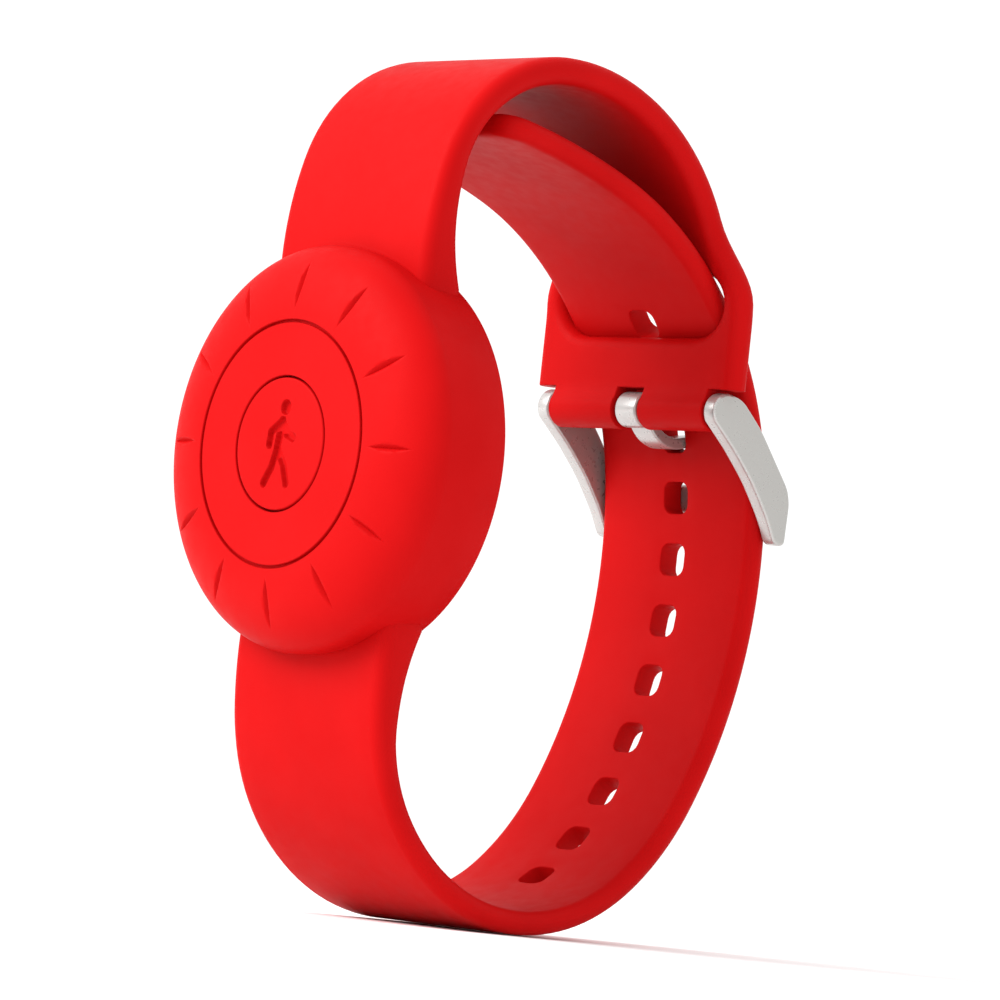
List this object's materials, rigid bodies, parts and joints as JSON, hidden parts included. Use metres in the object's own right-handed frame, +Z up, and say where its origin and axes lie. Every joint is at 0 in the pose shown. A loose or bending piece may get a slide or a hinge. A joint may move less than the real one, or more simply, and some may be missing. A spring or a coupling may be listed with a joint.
{
  "type": "bluetooth tracker wristband",
  "caption": "Silicone wristband with a round tracker tag: domed head with a push button, slotted strap end that takes the tail, and a steel pin buckle on a spring bar.",
  "frame": {"origin": "centre of the case back, the flat face that lies on the wrist", "axes": "+Y out of the case back into the strap's loop, +Z up the strap towards the buckle half, +X along the spring bar"},
  "size_m": [0.035, 0.0507, 0.0753],
  "materials": {
    "red_silicone": "satin moulded silicone",
    "button_silicone": "satin moulded silicone",
    "capsule_plastic": "fine moulded grain",
    "steel": "satin with polished bevels",
    "spring_steel": "bright drawn wire",
    "cell_can": "plated",
    "contact_metal": "plated strip",
    "board": "solder mask",
    "chip_black": "moulded",
    "ceramic": "fired ceramic",
    "led_body": "clear resin",
    "seal_rubber": "matt"
  },
  "bodies": {
    "band": {"silicone_head": "red_silicone", "buckle_strap": "red_silicone", "hole_strap": "red_silicone", "front_housing": "capsule_plastic", "rear_cover": "capsule_plastic", "cover_screws": "steel", "seal_ring": "seal_rubber", "circuit_board": "board", "bluetooth_chip": "chip_black", "motion_sensor": "chip_black", "crystal": "cell_can", "chip_antenna": "ceramic", "status_led": "led_body", "piezo_buzzer": "contact_metal", "capacitors": "ceramic", "switch_body": "cell_can", "coin_cell": "cell_can", "positive_clip": "contact_metal", "negative_contact": "contact_metal", "spring_bar_tube": "spring_steel", "spring_bar_spring": "spring_steel"},
    "button": {"push_button": "button_silicone"},
    "plunger": {"switch_plunger": "chip_black"},
    "buckle": {"buckle_frame": "steel"},
    "tongue": {"buckle_tongue": "steel"},
    "tip_left": {"spring_bar_tip_left": "spring_steel"},
    "tip_right": {"spring_bar_tip_right": "spring_steel"}
  },
  "joints": [
    {"name": "button_press", "type": "slide", "parent": "band", "child": "button", "axis": [0, 1, 0], "range_m": [0, 0.0003], "stiffness_N_per_m": 800},
    {"name": "switch_press", "type": "slide", "parent": "band", "child": "plunger", "axis": [0, 1, 0], "range_m": [0, 0.0003]},
    {"name": "buckle_hinge", "type": "hinge", "parent": "band", "child": "buckle", "pos_m": [0, 0.03, 0.008], "axis": [1, 0, 0], "range_deg": [0, 5]},
    {"name": "tongue_hinge", "type": "hinge", "parent": "buckle", "child": "tongue", "pos_m": [0, 0.03, 0.008], "axis": [1, 0, 0], "range_deg": [0, 5]},
    {"name": "left_tip_slide", "type": "slide", "parent": "band", "child": "tip_left", "axis": [1, 0, 0], "range_m": [0, 0.00125], "stiffness_N_per_m": 600, "deforming": ["spring_bar_spring"]},
    {"name": "right_tip_slide", "type": "slide", "parent": "band", "child": "tip_right", "axis": [-1, 0, 0], "range_m": [0, 0.00125], "stiffness_N_per_m": 600, "deforming": ["spring_bar_spring"]}
  ],
  "couplings": [
    {"joint": "switch_press", "follows": "button_press", "ratio": 1}
  ]
}
